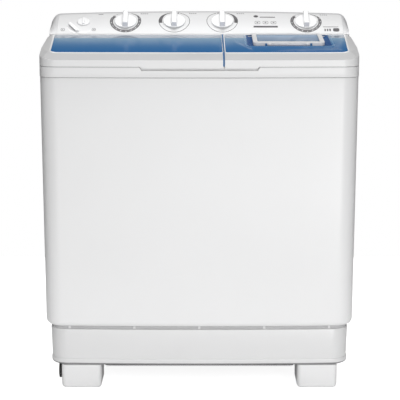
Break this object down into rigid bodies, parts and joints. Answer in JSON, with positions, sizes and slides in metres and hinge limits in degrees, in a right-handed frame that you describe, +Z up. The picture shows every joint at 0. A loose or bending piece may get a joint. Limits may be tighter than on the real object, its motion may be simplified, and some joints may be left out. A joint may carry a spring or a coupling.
{
  "type": "twin tub washer",
  "caption": "Twin tub washing machine: wash tub with pulsator and spin basket side by side under two glazed lids, sloping rear control panel, cabinet on a footed base.",
  "frame": {"origin": "on the floor under the middle of the machine", "axes": "+Z up, +X to the right seen from the front, +Y from the front to the back"},
  "size_m": [0.93, 0.5499, 1.1114],
  "materials": {
    "white": "glossy white",
    "pale": "glossy pale grey",
    "blue": "glossy blue tint",
    "inner": "satin",
    "grey": "satin",
    "dark": "matt dark",
    "rubber": "matt",
    "steel": "bright",
    "castings": "satin",
    "motor": "painted"
  },
  "bodies": {
    "machine": {"base_frame": "white", "base_tray": "dark", "cabinet": "white", "capacitor": "inner", "control_fascia": "white", "control_housing": "pale", "drain_outlet": "grey", "drain_pipe": "grey", "drain_selector": "inner", "drain_valve_body": "inner", "drive_belt": "rubber", "drive_bracket": "steel", "foot_front_left": "white", "foot_front_right": "white", "foot_rear_left": "white", "foot_rear_right": "white", "lid_switch": "dark", "lint_filter": "inner", "mode_switch": "inner", "motor_mount_a": "rubber", "motor_mount_b": "rubber", "motor_mount_c": "rubber", "rear_panel": "pale", "spin_drain_pipe": "grey", "spin_hinge_rod": "steel", "spin_motor": "motor", "spin_seal": "rubber", "spin_timer": "inner", "spin_tub": "inner", "top_frame": "white", "wash_gearbox": "castings", "wash_hinge_rod": "steel", "wash_motor": "motor", "wash_timer": "inner", "wash_tub": "inner", "water_inlet_cap": "white"},
    "pulsator_body": {"pulsator": "inner", "pulsator_shaft": "steel"},
    "pulley_body": {"gearbox_pulley": "steel"},
    "motor_pulley_body": {"motor_pulley": "steel"},
    "basket_body": {"spin_basket": "inner", "spin_shaft": "steel", "brake_drum": "steel"},
    "press_cover_body": {"press_cover": "inner"},
    "wash_lid": {"wash_lid_frame": "pale", "wash_lid_window": "blue"},
    "spin_lid": {"spin_lid_frame": "pale", "spin_lid_window": "blue", "flap_hinge_rod": "steel"},
    "flap": {"flap_frame": "white", "flap_window": "blue"},
    "wash_timer_dial": {"wash_timer_knob": "white"},
    "wash_mode_dial": {"wash_mode_knob": "white"},
    "drain_dial": {"drain_knob": "white"},
    "spin_timer_dial": {"spin_timer_knob": "white"},
    "inlet_selector": {"inlet_lever": "white"},
    "valve_plug": {"drain_valve_plug": "rubber"},
    "brake_arm": {"brake_lever": "steel"},
    "front_wheel": {"wheel_front": "rubber"},
    "rear_wheel": {"wheel_rear": "rubber"}
  },
  "joints": [
    {"name": "wash_lid_hinge", "type": "hinge", "parent": "machine", "child": "wash_lid", "pos_m": [-0.198, 0.0325, 1.0265], "axis": [-1, 0, 0], "range_deg": [0, 100]},
    {"name": "spin_lid_hinge", "type": "hinge", "parent": "machine", "child": "spin_lid", "pos_m": [0.268, 0.0325, 1.0265], "axis": [-1, 0, 0], "range_deg": [0, 100]},
    {"name": "flap_hinge", "type": "hinge", "parent": "spin_lid", "child": "flap", "pos_m": [0.268, -0.1095, 1.01954], "axis": [1, 0, 0], "range_deg": [0, 95]},
    {"name": "wash_timer_turn", "type": "hinge", "parent": "machine", "child": "wash_timer_dial", "pos_m": [-0.23, 0.10611, 1.07748], "axis": [0, 0.5339, -0.8455], "range_deg": [0, 300]},
    {"name": "wash_mode_turn", "type": "hinge", "parent": "machine", "child": "wash_mode_dial", "pos_m": [-0.078, 0.10611, 1.07811], "axis": [0, 0.5339, -0.8455], "range_deg": [-45, 45]},
    {"name": "drain_knob_turn", "type": "hinge", "parent": "machine", "child": "drain_dial", "pos_m": [0.0715, 0.10611, 1.07812], "axis": [0, 0.5339, -0.8455], "range_deg": [0, 90]},
    {"name": "spin_timer_turn", "type": "hinge", "parent": "machine", "child": "spin_timer_dial", "pos_m": [0.3325, 0.10611, 1.07671], "axis": [0, 0.5339, -0.8455], "range_deg": [0, 300]},
    {"name": "inlet_lever_turn", "type": "hinge", "parent": "machine", "child": "inlet_selector", "pos_m": [-0.3795, 0.07094, 1.05137], "axis": [0, -0.6735, 0.7392], "range_deg": [0, 30]},
    {"name": "pulsator_spin", "type": "hinge", "parent": "machine", "child": "pulsator_body", "pos_m": [-0.198, -0.013, 0.49], "axis": [0, 0, 1], "continuous": true},
    {"name": "gearbox_pulley_spin", "type": "hinge", "parent": "machine", "child": "pulley_body", "pos_m": [-0.198, -0.013, 0.335], "axis": [0, 0, 1], "continuous": true},
    {"name": "motor_pulley_spin", "type": "hinge", "parent": "machine", "child": "motor_pulley_body", "pos_m": [-0.03, 0.025, 0.335], "axis": [0, 0, 1], "continuous": true},
    {"name": "basket_spin", "type": "hinge", "parent": "machine", "child": "basket_body", "pos_m": [0.255, -0.08, 0.5], "axis": [0, 0, 1], "continuous": true},
    {"name": "press_cover_lift", "type": "slide", "parent": "basket_body", "child": "press_cover_body", "axis": [0, 0, 1], "range_m": [0, 0.1]},
    {"name": "drain_valve_lift", "type": "slide", "parent": "machine", "child": "valve_plug", "axis": [0, 0, 1], "range_m": [0, 0.012]},
    {"name": "brake_lever_turn", "type": "hinge", "parent": "machine", "child": "brake_arm", "pos_m": [0.18, -0.087, 0.335], "axis": [0, 0, 1], "range_deg": [-2.6, 0]},
    {"name": "wheel_front_spin", "type": "hinge", "parent": "machine", "child": "front_wheel", "pos_m": [-0.42, -0.15, 0.0305], "axis": [1, 0, 0], "continuous": true},
    {"name": "wheel_rear_spin", "type": "hinge", "parent": "machine", "child": "rear_wheel", "pos_m": [-0.42, 0.17, 0.0305], "axis": [1, 0, 0], "continuous": true}
  ],
  "couplings": [
    {"joint": "gearbox_pulley_spin", "follows": "pulsator_spin", "ratio": 4.5},
    {"joint": "motor_pulley_spin", "follows": "pulsator_spin", "ratio": 15.75},
    {"joint": "drain_valve_lift", "follows": "drain_knob_turn", "m_per_rad": 0.0076},
    {"joint": "brake_lever_turn", "follows": "spin_lid_hinge", "ratio": -0.022}
  ]
}
